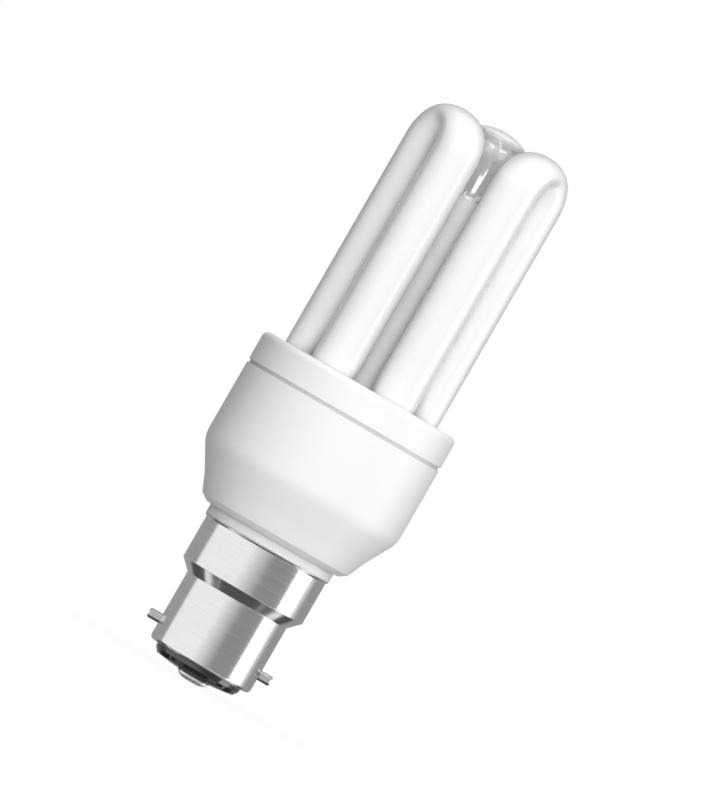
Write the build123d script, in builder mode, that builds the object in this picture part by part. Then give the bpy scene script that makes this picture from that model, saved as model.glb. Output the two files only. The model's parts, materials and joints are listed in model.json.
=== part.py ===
from build123d import *
from math import atan, cos, degrees, hypot, pi, radians, sin, sqrt
import os

# Energy saving lamp: three U-shaped tubes on a moulded ballast housing, with a two-pin
# bayonet cap and a clear light guide that leads daylight to a sensor on the circuit board.
#
# Millimetres. +Z is the lamp's axis, cap at the bottom. The origin is on the axis, level with
# the tips of the two contacts. The bayonet pins stand out along -X and +X.

# Driving dimensions: general fits
plug_fit = 0.05  # radial clearance of one piece that plugs into another
loose_fit = 0.25  # clearance round the tubes and the wires

# Cap shell: drawn sheet metal
barrel_radius = 11.0
sheet = 0.3
barrel_corner = 1.0
cap_lip = 1.71  # how far the shell's end turns inwards over the insulator
barrel_length = 14.6
cone_height = 2.2
skirt_radius = 13.2
skirt_length = 8.9
lip_flare = 0.45
lip_height = 0.5

# Insulator: black glass, domed below and locked in the shell
insulator_band = 0.57
insulator_chamfer = 0.75
insulator_chamfer_height = 0.95
insulator_dome_height = 1.0
insulator_depth = 2.5  # how far it reaches up into the shell

# Contacts: oblong pads with a hollow stem for the lead
contact_proud = 0.95
contact_length = 6.2
contact_width = 3.0
contact_edge = 0.7  # chamfer round a pad
contact_spacing = 8.2
contact_sink = 1.2  # how deep a pad sits in the insulator, measured from the dome's base
stem_radius = 1.2
stem_reach = 0.5  # how far a stem stands out above the insulator

# Bayonet pins
pin_radius = 1.0
pin_reach = 2.55  # from the barrel's surface to the tip
pin_tip_chamfer = 0.25
pin_height = 4.15  # pin's centre above the barrel's lower edge
pin_shank_radius = 0.75
pin_head_radius = 1.2
pin_head_length = 0.5

# Lower housing: moulded bowl
housing_wall = 1.5
neck_height = 2.0
spigot_depth = 8.6  # reach of the neck into the cap's skirt
underside_flat = 0.95  # width of the flat ring round the neck
foot_chamfer_out = 1.6
foot_chamfer_up = 1.1
knee_out = 1.55  # the flank's steep lower run
knee_up = 3.6
knee_round = 12.0
flank_up = 6.35  # the flank's shallower upper run, out to the body
flank_round = 6.0
body_radius = 21.27
body_height = 16.15  # straight stretch from the flank to the rim
rib_depth = 2.4
rib_thickness = 1.5
rib_angles = (30, 150, 210, 330)

# Upper cover: moulded collar that snaps into the housing
groove_height = 0.7
groove_depth = 0.37
collar_height = 6.3
collar_round = 1.3
cover_plate = 1.6
cover_spigot_wall = 1.2
cover_spigot_depth = 3.4
snap_height = 1.4
snap_depth = 0.45
snap_arc = 24  # degrees
post_width = 3.0
socket_wall = 0.9
socket_depth = 4.3
cement_gap = 0.6

# Discharge tube: six legs, three bends, two bridges, two pinch seals
tube_radius = 4.68
leg_spacing = 11.2  # between the legs of one U
u_distance = 10.8  # from the lamp's axis to the plane of each U
tube_above_cover = 56.2  # from the cover's top to the crown of the bends
bend_rise = 9.5  # height of the bends' outside
crotch_rise = 3.7  # height of the bends' inside
bend_steps = 6
leg_below_cover = 10.4  # from the cover's underside to the legs' closed ends
leg_end_chamfer = 2.6
bridge_radius = 2.2
bridge_drop = 6.9  # from the cover's underside to the bridges' centre line
pinch_length = 2.4
pinch_thickness = 2.6
pinch_width = 8.4
pinch_taper = 3.0

# Light guide and its sleeve
sleeve_radius = 2.4
sleeve_wall = 0.55
sleeve_below_tips = 14.9  # from the tubes' crowns down to the sleeve's upper end
sleeve_flange_radius = 3.9
sleeve_flange = 1.0
guide_below_tips = 1.5  # from the tubes' crowns down to the guide's flat top
guide_head_radius = 4.65
guide_rim = 0.75
guide_rim_round = 0.3
guide_neck_radius = 2.2
guide_flare_height = 8.2
guide_dimple_radius = 1.3
guide_dimple_depth = 3.1

# Circuit board and the ribs that it stands on
board_thickness = 1.6
board_clearance = 0.9  # round the board's edge
board_below_legs = 5.8  # from the legs' closed ends down to the board's upper face
lead_width = 0.6
lead_tail = 1.0  # how far the leads stand out above the board

# Parts on the board
sensor_radius = 1.5
sensor_height = 2.0
sensor_gap = 0.3  # between the sensor and the end of the light guide
can_radius = 4.0  # electrolytic capacitor
can_length = 16.0
can_groove = 0.5
can_groove_drop = 2.0
can_chamfer = 0.5
can_lead_spacing = 3.5
part_gap = 0.6  # between neighbours on the board
choke_x = 7.0
core_length = 13.2  # choke core, along Y
core_thickness = 5.6  # along X
core_height = 12.2
core_back = 1.9
core_outer_leg = 1.6
core_centre_leg = 3.2
bobbin_wall = 0.6
bobbin_flange = 0.8
bobbin_rail_width = 1.9
choke_pin_share = 0.38  # pins' distance from the choke's middle, as a share of its length
winding_build = 1.6
ring_outer_radius = 3.8
ring_inner_radius = 2.0
ring_height = 2.6
ring_winding_build = 0.5
ring_winding_arc = 50  # degrees
ring_winding_count = 3
transistor_width = 7.6
transistor_thickness = 2.7
transistor_height = 9.4
transistor_stand_off = 1.4
transistor_radius = 11.6  # distance from the axis
transistor_angles = (125, 235)
transistor_pitch = 2.3
transistor_hole_radius = 1.5
transistor_hole_rise = 3.0
film_width = 9.0
film_thickness = 4.0
film_height = 8.0
film_chamfer = 0.5
film_radius = 11.9
film_angles = (68, -68)
film_lead_spacing = 7.5
diode_radius = 1.3
diode_length = 4.4
diode_angles = (68, 100, -68, -100)
resistor_radius = 0.9
resistor_length = 3.2
resistor_angles = (14, 128, 232, 346)
axial_circle = 15.6  # distance of diodes and resistors from the axis
axial_lead_reach = 1.2  # from a body's end to its upright lead
fuse_radius = 1.3
fuse_length = 8.0
fuse_drop = 19.0  # from the board down to the fusible resistor
supply_radius = 0.55
wrap_pin_width = 0.9
wrap_pin_height = 3.4
wrap_pin_circle = 16.4
wrap_pin_spread = 21  # degrees between the two pins of one electrode
filament_radius = 0.25
filament_spacing = 3.0
filament_drop = 1.2

# Heights worked out from the sizes above
dome_z = contact_proud
dome_edge_z = dome_z + insulator_dome_height
insulator_side_z = dome_edge_z + insulator_chamfer_height
cap_z = insulator_side_z + insulator_band
barrel_top_z = cap_z + barrel_length
cone_top_z = barrel_top_z + cone_height
skirt_top_z = cone_top_z + skirt_length
lip_z = skirt_top_z + lip_height
pin_z = cap_z + pin_height
insulator_top_z = cap_z + sheet + insulator_depth
contact_seat_z = dome_z + contact_sink
stem_top_z = insulator_top_z + stem_reach
underside_z = lip_z + neck_height
foot_z = underside_z + foot_chamfer_up
knee_z = foot_z + knee_up
flank_z = knee_z + flank_up
rim_z = flank_z + body_height
collar_z = rim_z + groove_height
cover_z = collar_z + collar_height
plate_z = cover_z - cover_plate
crown_z = cover_z + tube_above_cover
bend_z = crown_z - bend_rise
leg_end_z = plate_z - leg_below_cover
bridge_z = plate_z - bridge_drop
pinch_z = leg_end_z - pinch_length
board_top_z = leg_end_z - board_below_legs
board_z = board_top_z - board_thickness
sleeve_top_z = crown_z - sleeve_below_tips
guide_z = crown_z - guide_below_tips

# Radii and places worked out from the sizes above
cap_opening = barrel_radius - cap_lip
insulator_radius = cap_opening - plug_fit
shell_bore = barrel_radius - sheet
skirt_bore = skirt_radius - sheet
lip_radius = skirt_radius + lip_flare
spigot_radius = skirt_bore - plug_fit
neck_bore = spigot_radius - housing_wall
dome_radius = insulator_radius - insulator_chamfer
housing_bore = body_radius - housing_wall
cover_spigot_radius = housing_bore - plug_fit
cover_spigot_bore = cover_spigot_radius - cover_spigot_wall
spigot_end_z = rim_z - cover_spigot_depth
board_radius = housing_bore - board_clearance
sleeve_bore = sleeve_radius - sleeve_wall
guide_rod_radius = sleeve_bore - plug_fit
u_angles = (90, 210, 330)
leg_offset = leg_spacing / 2
leg_circle = hypot(u_distance, leg_offset)
cement_radius = tube_radius + cement_gap
socket_radius = cement_radius + socket_wall


def inset(points, wall):
    """Corners of the line that runs a wall's thickness to the left of an outline."""
    moved = []
    for (x0, y0), (x1, y1) in zip(points, points[1:]):
        length = hypot(x1 - x0, y1 - y0)
        dx, dy = -(y1 - y0) / length * wall, (x1 - x0) / length * wall
        moved.append(((x0 + dx, y0 + dy), (x1 + dx, y1 + dy)))
    corners = [moved[0][0]]
    for ((ax, ay), (bx, by)), ((cx, cy), (dx, dy)) in zip(moved, moved[1:]):
        cross = (bx - ax) * (dy - cy) - (by - ay) * (dx - cx)
        share = ((cx - ax) * (dy - cy) - (cy - ay) * (dx - cx)) / cross
        corners.append((ax + share * (bx - ax), ay + share * (by - ay)))
    return corners + [moved[-1][1]]


def wall_section(outside, outer_rounds, inner_rounds, wall):
    """Section of an even wall on the XZ plane: an outline and its inset, closed at both ends."""
    with BuildSketch(Plane.XZ) as section:
        with BuildLine():
            outer_line = FilletPolyline(*outside, radius=outer_rounds)
            inner_line = FilletPolyline(*inset(outside, wall), radius=inner_rounds)
            Line(outer_line @ 0, inner_line @ 0)
            Line(outer_line @ 1, inner_line @ 1)
        make_face()
    return section.sketch


def filled_section(outside, outer_rounds):
    """The whole area between an outline and the lamp's axis, on the XZ plane."""
    with BuildSketch(Plane.XZ) as section:
        with BuildLine():
            outer_line = FilletPolyline(*outside, radius=outer_rounds)
            low, high = (outer_line @ 0).Y, (outer_line @ 1).Y
            Polyline(outer_line @ 1, (0, high), (0, low), outer_line @ 0)
        make_face()
    return section.sketch


def corner(sketch, r, z):
    """The corner of a sketch that lies nearest a point."""
    return sketch.vertices().sort_by_distance((r, z, 0))[0]


def polar(radius, angle, z=0.0):
    """Point at a distance from the lamp's axis, in a direction in degrees."""
    return Vector(radius * cos(radians(angle)), radius * sin(radians(angle)), z)


def finish(builder, label):
    """Name a finished piece and write its file."""
    builder.part.label = label
    export_step(builder.part, f"parts/{label}.step")


os.makedirs("parts", exist_ok=True)

# Cap shell: one drawn sheet, with holes for the two pins
shell_outside = [
    (cap_opening, cap_z),
    (barrel_radius, cap_z),
    (barrel_radius, barrel_top_z),
    (skirt_radius, cone_top_z),
    (skirt_radius, skirt_top_z),
    (lip_radius, lip_z),
]
with BuildPart() as cap_shell:
    outer_rounds = [barrel_corner, 0, 0, 0]
    inner_rounds = [barrel_corner - sheet, 0, 0, 0]
    revolve(wall_section(shell_outside, outer_rounds, inner_rounds, sheet))
    with BuildSketch(Plane.XY.offset(lip_z)):
        Circle(lip_radius + sheet)
    extrude(amount=lip_height, mode=Mode.SUBTRACT)
    with BuildSketch(Plane.YZ.offset(-barrel_radius)):
        with Locations((0, pin_z)):
            Circle(pin_shank_radius + plug_fit)
    extrude(amount=2 * barrel_radius, mode=Mode.SUBTRACT)
finish(cap_shell, "cap_shell")

# Insulator: domed and chamfered below, with an oblong recess and a hole for each contact
contact_places = [(0, -contact_spacing / 2), (0, contact_spacing / 2)]
with BuildPart() as cap_insulator:
    with BuildSketch(Plane.XZ) as section:
        with BuildLine():
            TangentArc((0, dome_z), (dome_radius, dome_edge_z), tangent=(1, 0))
            Polyline(
                (dome_radius, dome_edge_z),
                (insulator_radius, insulator_side_z),
                (insulator_radius, cap_z + sheet),
                (shell_bore - plug_fit, cap_z + sheet),
                (shell_bore - plug_fit, insulator_top_z),
                (0, insulator_top_z),
                (0, dome_z),
            )
        make_face()
        chamfer(corner(section, shell_bore - plug_fit, cap_z + sheet), length=barrel_corner)
    revolve()
    with BuildSketch():
        with Locations(*contact_places):
            SlotOverall(contact_length + 2 * plug_fit, contact_width + 2 * plug_fit)
    extrude(amount=contact_seat_z, mode=Mode.SUBTRACT)
    with BuildSketch():
        with Locations(*contact_places):
            Circle(stem_radius + plug_fit)
    extrude(amount=insulator_top_z, mode=Mode.SUBTRACT)
finish(cap_insulator, "cap_insulator")

# Contacts: an oblong pad with rounded edges on a hollow stem
for name, place in zip(("contact_front", "contact_rear"), contact_places):
    with BuildPart() as contact:
        with BuildSketch():
            with Locations(place):
                SlotOverall(contact_length, contact_width)
        extrude(amount=contact_seat_z)
        chamfer(contact.faces().sort_by(Axis.Z)[0].edges(), length=contact_edge)
        with BuildSketch(Plane.XY.offset(contact_seat_z)):
            with Locations(place):
                Circle(stem_radius)
        extrude(amount=stem_top_z - contact_seat_z)
        with BuildSketch(Plane.XY.offset(stem_top_z)):
            with Locations(place):
                Circle(supply_radius + plug_fit)
        extrude(amount=contact_seat_z - stem_top_z, mode=Mode.SUBTRACT)
    finish(contact, name)

# Bayonet pins: a round pin whose shoulder sits on the shell, with its shank headed inside
head_x = sqrt(shell_bore**2 - pin_head_radius**2) - plug_fit
for name, side in (("bayonet_pin_left", -1), ("bayonet_pin_right", 1)):
    with BuildPart() as bayonet_pin:
        outward = Plane(origin=(0, 0, pin_z), x_dir=(0, 1, 0), z_dir=(side, 0, 0))
        with BuildSketch(outward.offset(barrel_radius)):
            Circle(pin_radius)
        extrude(amount=pin_reach)
        tip = bayonet_pin.faces().sort_by(Axis.X)[0 if side < 0 else -1]
        chamfer(tip.edges(), length=pin_tip_chamfer)
        with BuildSketch(outward.offset(head_x)):
            Circle(pin_shank_radius)
        extrude(amount=barrel_radius - head_x)
        with BuildSketch(outward.offset(head_x)):
            Circle(pin_head_radius)
        extrude(amount=-pin_head_length)
    finish(bayonet_pin, name)

# Lower housing: an even-walled bowl on a neck, with ribs that carry the circuit board
bowl_outside = [
    (neck_bore, underside_z),
    (lip_radius + underside_flat, underside_z),
    (lip_radius + underside_flat + foot_chamfer_out, foot_z),
    (lip_radius + underside_flat + foot_chamfer_out + knee_out, knee_z),
    (body_radius, flank_z),
    (body_radius, rim_z),
]
neck_outside = [
    (neck_bore, lip_z - spigot_depth),
    (spigot_radius, lip_z - spigot_depth),
    (spigot_radius, lip_z),
    (lip_radius, lip_z),
    (lip_radius, underside_z + housing_wall),
    (neck_bore, underside_z + housing_wall),
]
bowl_rounds = [0, 0, knee_round, flank_round]
rib_inner = housing_bore - rib_depth
snap_z = spigot_end_z + snap_height / 2
rib_places = [Location((0, 0, board_z), (0, 0, angle)) for angle in rib_angles]
with BuildPart() as lower_housing:
    with Locations(*rib_places):
        with Locations((rib_inner, 0, 0)):
            Box(
                rib_depth + housing_wall / 2,
                rib_thickness,
                board_z - foot_z,
                align=(Align.MIN, Align.CENTER, Align.MAX),
            )
    revolve(filled_section(bowl_outside, bowl_rounds), mode=Mode.INTERSECT)
    revolve(wall_section(bowl_outside, bowl_rounds, 0, housing_wall))
    with BuildSketch(Plane.XZ):
        Polygon(*neck_outside, align=None)
    revolve()
    with BuildSketch(Plane.XZ):
        groove_end = housing_bore + snap_depth + plug_fit
        Polygon(
            (0, snap_z - snap_height),
            (housing_bore, snap_z - snap_height),
            (groove_end, snap_z - snap_height / 2),
            (groove_end, snap_z + snap_height / 2),
            (housing_bore, snap_z + snap_height),
            (0, snap_z + snap_height),
            align=None,
        )
    revolve(mode=Mode.SUBTRACT)
finish(lower_housing, "lower_housing")

# Upper cover: collar, plate with a socket round each leg, snap beads, and posts on the board
leg_angle = degrees(atan(leg_offset / u_distance))
leg_angles = [u + side * leg_angle for u in u_angles for side in (-1, 1)]
leg_places = [polar(leg_circle, angle) for angle in leg_angles]
post_inner = rib_inner + loose_fit
with BuildPart() as upper_cover:
    with BuildSketch(Plane.XZ) as section:
        Polygon(
            (0, cover_z),
            (body_radius, cover_z),
            (body_radius, collar_z),
            (body_radius - groove_depth, collar_z),
            (body_radius - groove_depth, rim_z),
            (cover_spigot_radius, rim_z),
            (cover_spigot_radius, spigot_end_z),
            (cover_spigot_bore, spigot_end_z),
            (cover_spigot_bore, collar_z + cover_spigot_wall),
            (housing_bore, collar_z + 2 * cover_spigot_wall),
            (housing_bore, plate_z),
            (0, plate_z),
            align=None,
        )
        fillet(corner(section, body_radius, cover_z), radius=collar_round)
    revolve()
    with BuildSketch(Plane.XY.offset(plate_z)):
        with Locations(*leg_places):
            Circle(socket_radius)
    extrude(amount=-socket_depth)
    with BuildSketch(Plane.XY.offset(plate_z)):
        with Locations(*leg_places):
            Circle(cement_radius)
    extrude(amount=-socket_depth, mode=Mode.SUBTRACT)
    with BuildSketch(Plane.XY.offset(plate_z)):
        with Locations(*leg_places):
            Circle(tube_radius + loose_fit)
        Circle(sleeve_radius + plug_fit)
    extrude(amount=cover_plate, mode=Mode.SUBTRACT)
    post_places = [Location((0, 0, board_top_z), (0, 0, angle)) for angle in rib_angles]
    with Locations(*post_places):
        with Locations((post_inner, 0, 0)):
            Box(
                cover_spigot_bore + cover_spigot_wall / 2 - post_inner,
                post_width,
                rim_z - board_top_z,
                align=(Align.MIN, Align.CENTER, Align.MIN),
            )
    with BuildSketch(Plane.XZ) as bead:
        Polygon(
            (cover_spigot_radius - cover_spigot_wall / 2, snap_z - snap_height / 2),
            (cover_spigot_radius, snap_z - snap_height / 2),
            (cover_spigot_radius + snap_depth, snap_z),
            (cover_spigot_radius, snap_z + snap_height / 2),
            (cover_spigot_radius - cover_spigot_wall / 2, snap_z + snap_height / 2),
            align=None,
        )
    for angle in rib_angles:
        start = Rotation(0, 0, angle - snap_arc / 2)
        revolve(start * bead.sketch, revolution_arc=snap_arc)
finish(upper_cover, "upper_cover")

# Discharge tube: one sealed vessel of three U bends on six legs, joined by two bridges
electrode_legs = leg_angles[1:3]
plain_legs = [leg_angles[0]] + leg_angles[3:]
bridged_legs = [(leg_places[3], leg_places[4]), (leg_places[5], leg_places[0])]
with BuildPart() as discharge_tube:
    with BuildSketch(Plane.XY.offset(leg_end_z)):
        with Locations(*[polar(leg_circle, angle) for angle in plain_legs]):
            Circle(tube_radius)
    extrude(amount=bend_z - leg_end_z)
    chamfer(discharge_tube.edges().group_by(Axis.Z)[0], length=leg_end_chamfer)
    with BuildSketch(Plane.XY.offset(leg_end_z + pinch_taper)):
        with Locations(*[polar(leg_circle, angle) for angle in electrode_legs]):
            Circle(tube_radius)
    extrude(amount=bend_z - leg_end_z - pinch_taper)
    for angle in electrode_legs:
        pinch = Plane(origin=polar(leg_circle, angle, leg_end_z), x_dir=polar(1, angle + 90))
        with BuildSketch(pinch.offset(pinch_taper)):
            Circle(tube_radius)
        with BuildSketch(pinch):
            Ellipse(pinch_width / 2, pinch_thickness / 2)
        loft()
        with BuildSketch(pinch):
            Ellipse(pinch_width / 2, pinch_thickness / 2)
        extrude(amount=-pinch_length)
    for start, end in bridged_legs:
        with BuildSketch(Plane(origin=start + Vector(0, 0, bridge_z), z_dir=end - start)):
            Circle(bridge_radius)
        extrude(amount=(end - start).length)
    for u_angle in u_angles:
        outwards, along = polar(1, u_angle), polar(1, u_angle + 90)
        for step in range(bend_steps + 1):
            turn = pi * step / bend_steps
            outer = Vector((leg_offset + tube_radius) * cos(turn), bend_rise * sin(turn))
            inner = Vector((leg_offset - tube_radius) * cos(turn), crotch_rise * sin(turn))
            middle, across = (outer + inner) / 2, outer - inner
            place = outwards * u_distance + along * middle.X + Vector(0, 0, bend_z + middle.Y)
            thickness_dir = along * across.X + Vector(0, 0, across.Y)
            with BuildSketch(Plane(origin=place, x_dir=outwards, z_dir=outwards.cross(thickness_dir))):
                Ellipse(tube_radius, across.length / 2)
        loft()
finish(discharge_tube, "discharge_tube")

# Tube cement: a ring round each leg, inside its socket
with BuildPart() as tube_cement:
    with BuildSketch(Plane.XY.offset(plate_z)):
        with Locations(*leg_places):
            Circle(cement_radius - plug_fit)
        with Locations(*leg_places):
            Circle(tube_radius + plug_fit, mode=Mode.SUBTRACT)
    extrude(amount=-socket_depth)
finish(tube_cement, "tube_cement")

# Light guide: a rod in the sleeve, a neck, and a flared head with a dimple in its flat top
guide_end_z = board_top_z + sensor_height + sensor_gap
rim_low_z = guide_z - guide_rim
with BuildPart() as light_guide:
    with BuildSketch(Plane.XZ) as section:
        with BuildLine():
            Polyline(
                (0, guide_end_z),
                (guide_rod_radius, guide_end_z),
                (guide_rod_radius, sleeve_top_z),
                (guide_neck_radius, sleeve_top_z),
                (guide_neck_radius, rim_low_z - guide_flare_height),
            )
            TangentArc(
                (guide_neck_radius, rim_low_z - guide_flare_height),
                (guide_head_radius, rim_low_z),
                tangent=(0, 1),
            )
            Polyline(
                (guide_head_radius, rim_low_z),
                (guide_head_radius, guide_z),
                (guide_dimple_radius, guide_z),
                (0, guide_z - guide_dimple_depth),
                (0, guide_end_z),
            )
        make_face()
        fillet(corner(section, guide_head_radius, guide_z), radius=guide_rim_round)
    revolve()
finish(light_guide, "light_guide")

# Light guide sleeve: an opaque tube from the board to the guide's neck, with a flange that
# sits under the cover's plate
with BuildPart() as light_guide_sleeve:
    with BuildSketch(Plane.XY.offset(board_top_z)):
        Circle(sleeve_radius)
    extrude(amount=sleeve_top_z - board_top_z)
    with BuildSketch(Plane.XY.offset(plate_z)):
        Circle(sleeve_flange_radius)
    extrude(amount=-sleeve_flange)
    with BuildSketch(Plane.XY.offset(board_top_z)):
        Circle(sleeve_bore)
    extrude(amount=sleeve_top_z - board_top_z, mode=Mode.SUBTRACT)
finish(light_guide_sleeve, "light_guide_sleeve")

# Places of the parts on the board: the choke, the capacitor and the ring stand in a row
choke_half = core_thickness / 2 + part_gap / 2 + bobbin_rail_width
can_x = choke_x - choke_half - part_gap - can_radius
ring_reach = ring_outer_radius + ring_winding_build
ring_x = can_x - can_radius - part_gap - ring_reach


def spread(radius, angle, spacing, count=2):
    """Points spaced evenly across a direction, at a distance from the axis."""
    along = polar(1, angle + 90)
    steps = [step - (count - 1) / 2 for step in range(count)]
    return [polar(radius, angle) + along * (spacing * step) for step in steps]


can_leads = [Vector(can_x, side * can_lead_spacing / 2) for side in (-1, 1)]
rail_x = core_thickness / 2 + part_gap / 2 + bobbin_rail_width / 2
choke_pins = [
    Vector(choke_x + side * rail_x, end * core_length * choke_pin_share)
    for side in (-1, 1)
    for end in (-1, 1)
]
transistor_leads = [spread(transistor_radius, angle, transistor_pitch, 3) for angle in transistor_angles]
film_leads = [spread(film_radius, angle, film_lead_spacing) for angle in film_angles]
diode_reach = diode_length + 2 * axial_lead_reach
diode_leads = [spread(axial_circle, angle, diode_reach) for angle in diode_angles]
resistor_reach = resistor_length + 2 * axial_lead_reach
resistor_leads = [spread(axial_circle, angle, resistor_reach) for angle in resistor_angles]
supply_places = [Vector(*place) for place in contact_places]
wrap_pin_angles = [
    angle + side * wrap_pin_spread / 2 for angle in electrode_legs for side in (-1, 1)
]
wrap_pin_places = [polar(wrap_pin_circle, angle) for angle in wrap_pin_angles]

# Circuit board: a disc, drilled for each lead, pin and wire
thin_leads = can_leads + choke_pins
for group in transistor_leads + film_leads + diode_leads + resistor_leads:
    thin_leads += group
with BuildPart() as circuit_board:
    with BuildSketch(Plane.XY.offset(board_z)):
        Circle(board_radius)
        with Locations(*thin_leads):
            Rectangle(lead_width + 2 * plug_fit, lead_width + 2 * plug_fit, mode=Mode.SUBTRACT)
        with Locations(*supply_places):
            Circle(supply_radius + plug_fit, mode=Mode.SUBTRACT)
        with Locations(*wrap_pin_places):
            wrap_hole = wrap_pin_width + 2 * plug_fit
            Rectangle(wrap_hole, wrap_hole, mode=Mode.SUBTRACT)
    extrude(amount=board_thickness)
finish(circuit_board, "circuit_board")


def leads(places, below=0.0):
    """Straight leads through the board, from a distance below it up to their solder tails."""
    with BuildSketch(Plane.XY.offset(board_z - below)) as ends:
        with Locations(*places):
            Rectangle(lead_width, lead_width)
    return extrude(ends.sketch, amount=below + board_thickness + lead_tail, mode=Mode.PRIVATE)


# Light sensor: a low domed package on the board, inside the sleeve
with BuildPart() as light_sensor:
    with BuildSketch(Plane.XY.offset(board_top_z)):
        Circle(sensor_radius)
    extrude(amount=sensor_height)
    chamfer(light_sensor.faces().sort_by(Axis.Z)[-1].edges(), length=sensor_radius / 2)
finish(light_sensor, "light_sensor")

# Electrolytic capacitor: a can with a rolled groove near its leads
with BuildPart() as electrolytic_capacitor:
    can_plane = Plane(origin=(can_x, 0, board_z), x_dir=(1, 0, 0), z_dir=(0, -1, 0))
    with BuildSketch(can_plane) as section:
        Rectangle(can_radius, can_length, align=(Align.MIN, Align.MAX))
        with Locations(Location((can_radius, -can_groove_drop), 45)):
            Rectangle(can_groove, can_groove, mode=Mode.SUBTRACT)
        chamfer(corner(section, can_radius, -can_length), length=can_chamfer)
    revolve(axis=Axis((can_x, 0, 0), (0, 0, 1)))
    add(leads(can_leads))
finish(electrolytic_capacitor, "electrolytic_capacitor")

# Choke: two E-shaped core halves round a bobbin, with the winding between its flanges
core_top_z = board_z - part_gap / 2
core_middle_z = core_top_z - core_height / 2
core_bottom_z = core_top_z - core_height
for name, back_z, way in (
    ("choke_core_upper", core_top_z, -1),
    ("choke_core_lower", core_bottom_z, 1),
):
    with BuildPart() as core:
        with BuildSketch(Plane.YZ.offset(choke_x)):
            with Locations((0, back_z + way * core_height / 4)):
                Rectangle(core_length, core_height / 2)
            window = (core_length - core_centre_leg) / 2 - core_outer_leg
            window_y = core_centre_leg / 2 + window / 2
            with Locations((-window_y, core_middle_z), (window_y, core_middle_z)):
                Rectangle(window, core_height - 2 * core_back, mode=Mode.SUBTRACT)
        extrude(amount=core_thickness / 2, both=True)
    finish(core, name)

window_top_z = core_top_z - core_back
window_bottom_z = core_bottom_z + core_back
tube_x = core_thickness + 2 * (plug_fit + bobbin_wall)
tube_y = core_centre_leg + 2 * (plug_fit + bobbin_wall)
flange_y = core_centre_leg + 2 * window - 2 * plug_fit
flange_x = 2 * choke_half
with BuildPart() as choke_bobbin:
    with BuildSketch(Plane.XY.offset(window_bottom_z + plug_fit)):
        with Locations((choke_x, 0)):
            Rectangle(tube_x, tube_y)
    extrude(amount=window_top_z - window_bottom_z - 2 * plug_fit)
    for start_z in (window_bottom_z + plug_fit, window_top_z - plug_fit - bobbin_flange):
        with BuildSketch(Plane.XY.offset(start_z)):
            with Locations((choke_x, 0)):
                Rectangle(flange_x, flange_y)
        extrude(amount=bobbin_flange)
    with BuildSketch(Plane.XY.offset(board_z)):
        with Locations((choke_x - rail_x, 0), (choke_x + rail_x, 0)):
            Rectangle(bobbin_rail_width, core_length)
    extrude(amount=window_top_z - plug_fit - bobbin_flange - board_z)
    with BuildSketch(Plane.XY.offset(window_bottom_z)):
        with Locations((choke_x, 0)):
            Rectangle(core_thickness + 2 * plug_fit, core_centre_leg + 2 * plug_fit)
    extrude(amount=window_top_z - window_bottom_z, mode=Mode.SUBTRACT)
    add(leads(choke_pins))
finish(choke_bobbin, "choke_bobbin")

with BuildPart() as choke_winding:
    with BuildSketch(Plane.XY.offset(window_bottom_z + 2 * plug_fit + bobbin_flange)):
        with Locations((choke_x, 0)):
            RectangleRounded(tube_x + 2 * winding_build, tube_y + 2 * winding_build, winding_build)
            Rectangle(tube_x + 2 * plug_fit, tube_y + 2 * plug_fit, mode=Mode.SUBTRACT)
    extrude(amount=window_top_z - window_bottom_z - 2 * bobbin_flange - 4 * plug_fit)
finish(choke_winding, "choke_winding")

# Ring transformer: a ferrite ring flat against the board, with three windings
ring_axis = Axis((ring_x, 0, 0), (0, 0, 1))
ring_top_z = board_z - ring_winding_build - plug_fit
ring_width = ring_outer_radius - ring_inner_radius
ring_middle_z = ring_top_z - ring_height / 2
ring_plane = Plane(origin=(ring_x, 0, ring_middle_z), x_dir=(1, 0, 0), z_dir=(0, -1, 0))
ring_middle = (ring_outer_radius + ring_inner_radius) / 2
with BuildPart() as ring_core:
    with BuildSketch(ring_plane):
        with Locations((ring_middle, 0)):
            Rectangle(ring_width, ring_height)
    revolve(axis=ring_axis)
finish(ring_core, "ring_core")

for number in range(ring_winding_count):
    with BuildPart() as ring_winding:
        with BuildSketch(ring_plane):
            with Locations((ring_middle, 0)):
                Rectangle(ring_width + 2 * ring_winding_build, ring_height + 2 * ring_winding_build)
                Rectangle(ring_width + 2 * plug_fit, ring_height + 2 * plug_fit, mode=Mode.SUBTRACT)
        revolve(axis=ring_axis, revolution_arc=ring_winding_arc)
    ring_winding.part = ring_winding.part.rotate(ring_axis, number * 360 / ring_winding_count)
    finish(ring_winding, f"ring_winding_{number + 1}")

# Transistors: flat packages with a fixing hole, on three leads
for number, (angle, places) in enumerate(zip(transistor_angles, transistor_leads), start=1):
    with BuildPart() as transistor:
        upper_edge = polar(transistor_radius, angle, board_z - transistor_stand_off)
        with BuildSketch(Plane(origin=upper_edge, x_dir=polar(1, angle + 90), z_dir=polar(1, angle))):
            Rectangle(transistor_width, transistor_height, align=(Align.CENTER, Align.MAX))
            with Locations((0, -transistor_height + transistor_hole_rise)):
                Circle(transistor_hole_radius, mode=Mode.SUBTRACT)
        extrude(amount=transistor_thickness / 2, both=True)
        add(leads(places, below=transistor_stand_off))
    finish(transistor, f"transistor_{number}")

# Film capacitors: moulded blocks with chamfered edges
for number, (angle, places) in enumerate(zip(film_angles, film_leads), start=1):
    with BuildPart() as film_capacitor:
        with BuildSketch(Plane(origin=polar(film_radius, angle, board_z), x_dir=polar(1, angle + 90))):
            Rectangle(film_width, film_thickness)
        extrude(amount=-film_height)
        chamfer(film_capacitor.faces().sort_by(Axis.Z)[0].edges(), length=film_chamfer)
        add(leads(places))
    finish(film_capacitor, f"film_capacitor_{number}")


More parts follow.
